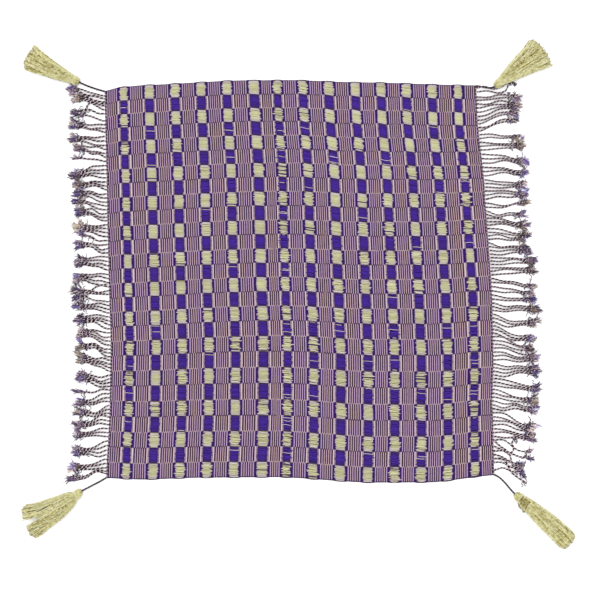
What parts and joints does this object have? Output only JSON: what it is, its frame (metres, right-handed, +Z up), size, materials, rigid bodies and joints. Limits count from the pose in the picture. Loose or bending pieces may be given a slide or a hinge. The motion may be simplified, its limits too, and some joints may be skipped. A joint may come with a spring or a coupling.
{
  "type": "fringed scarf",
  "caption": "Square hand-woven scarf laid flat, with columns of two-colour blocks, twisted knotted fringes on two sides and a tassel tied to each corner.",
  "frame": {"origin": "middle of the footprint, on the surface that the scarf lies on", "axes": "+Z up from the surface, +X along the warp towards one fringe, +Y towards one selvedge"},
  "size_m": [0.9862, 0.9082, 0.0096],
  "materials": {
    "cloth": "matt cotton, purple and cream, woven in stripes and blocks",
    "fringe": "twisted two-colour cotton with fluffy cut ends",
    "tassel": "soft cream cotton yarn with a slight sheen",
    "tie": "dark twisted cotton thread"
  },
  "bodies": {
    "root": {"cloth": "cloth", "fringe_left": "fringe", "fringe_right": "fringe", "tassel_top_left": "tassel", "tassel_top_right": "tassel", "tassel_bottom_left": "tassel", "tassel_bottom_right": "tassel", "tie_top_left": "tie", "tie_top_right": "tie", "tie_bottom_left": "tie", "tie_bottom_right": "tie"}
  },
  "joints": []
}
